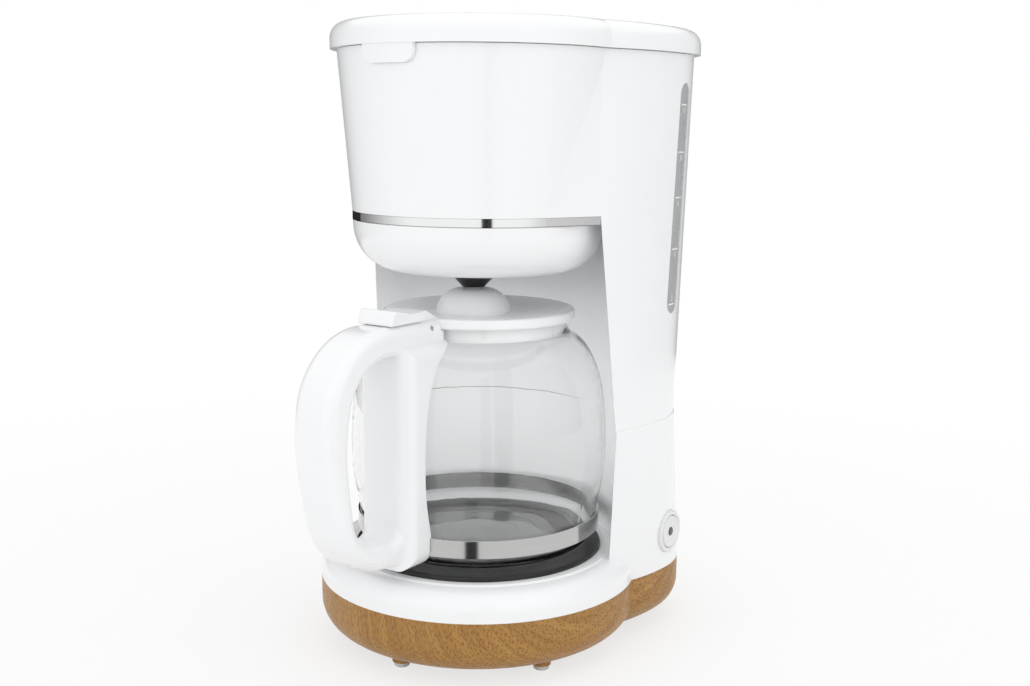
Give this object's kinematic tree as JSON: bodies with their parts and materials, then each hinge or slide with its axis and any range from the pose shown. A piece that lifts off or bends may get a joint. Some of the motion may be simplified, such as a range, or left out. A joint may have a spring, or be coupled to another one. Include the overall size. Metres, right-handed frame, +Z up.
{
  "type": "drip coffee maker",
  "caption": "Drip coffee maker with a round filter head over a glass carafe, a rear water tank with a level window, a warming plate and a wood-look base.",
  "frame": {"origin": "floor level, under the middle of the part's bounding box", "axes": "+Z up; -Y is the front, where the carafe comes out; +X is the side with the button and the water window"},
  "size_m": [0.1996, 0.28, 0.362],
  "materials": {
    "white_plastic": "gloss white moulded plastic",
    "wood_look": "beech grain print on moulded plastic, satin",
    "bright_metal": "bright plated strip",
    "steel": "plain stainless sheet and wire",
    "clear_glass": "clear blown glass",
    "black_plastic": "black moulded plastic",
    "plate_coating": "black non-stick coating on pressed metal",
    "aluminium": "extruded, plain",
    "rubber": "grey soft rubber",
    "silicone": "pale silicone",
    "clear_plastic": "grey clear moulded plastic with printed ticks",
    "grey_plastic": "grey moulded plastic",
    "mesh": "fine nylon mesh in a moulded frame",
    "lens": "smoked clear lens"
  },
  "bodies": {
    "machine": {"base_screws": "steel", "brew_bowl": "white_plastic", "button_bezel": "white_plastic", "button_spring": "steel", "check_valve": "black_plastic", "chrome_band": "bright_metal", "clamp_nut": "steel", "cold_hose": "silicone", "cord_gland": "black_plastic", "filter_basket": "black_plastic", "foot_pads": "rubber", "heater_clamp": "steel", "heater_tube": "aluminium", "heating_element": "steel", "hot_hose": "silicone", "lid_hinge_pin": "steel", "lower_housing": "white_plastic", "mesh_filter": "mesh", "plate_seal": "silicone", "riser_grommet": "rubber", "riser_tube": "grey_plastic", "switch_body": "black_plastic", "terminal_block": "black_plastic", "thermal_fuse": "aluminium", "thermostat": "black_plastic", "upper_housing": "white_plastic", "valve_spring": "steel", "warming_plate": "plate_coating", "water_spreader": "grey_plastic", "water_window": "clear_plastic", "wood_base": "wood_look"},
    "lid": {"top_lid": "white_plastic"},
    "carafe": {"carafe_glass": "clear_glass", "carafe_band": "steel", "carafe_handle": "white_plastic", "handle_screw": "steel", "carafe_lid": "white_plastic", "carafe_lid_pin": "steel"},
    "valve": {"drip_valve": "black_plastic", "valve_seal": "silicone"},
    "button": {"button_cap": "white_plastic", "indicator_lens": "lens"}
  },
  "joints": [
    {"name": "lid_hinge", "type": "hinge", "parent": "machine", "child": "lid", "pos_m": [0, 0.13651, 0.346], "axis": [-1, 0, 0], "range_deg": [0, 100]},
    {"name": "carafe_slide", "type": "slide", "parent": "machine", "child": "carafe", "axis": [0, -1, 0], "range_m": [0, 0.25]},
    {"name": "valve_lift", "type": "slide", "parent": "machine", "child": "valve", "axis": [0, 0, 1], "range_m": [0, 0.003], "stiffness_N_per_m": 150, "deforming": ["valve_spring"]},
    {"name": "button_press", "type": "slide", "parent": "machine", "child": "button", "axis": [-1, 0, 0], "range_m": [0, 0.0025], "stiffness_N_per_m": 400, "deforming": ["button_spring"]}
  ]
}
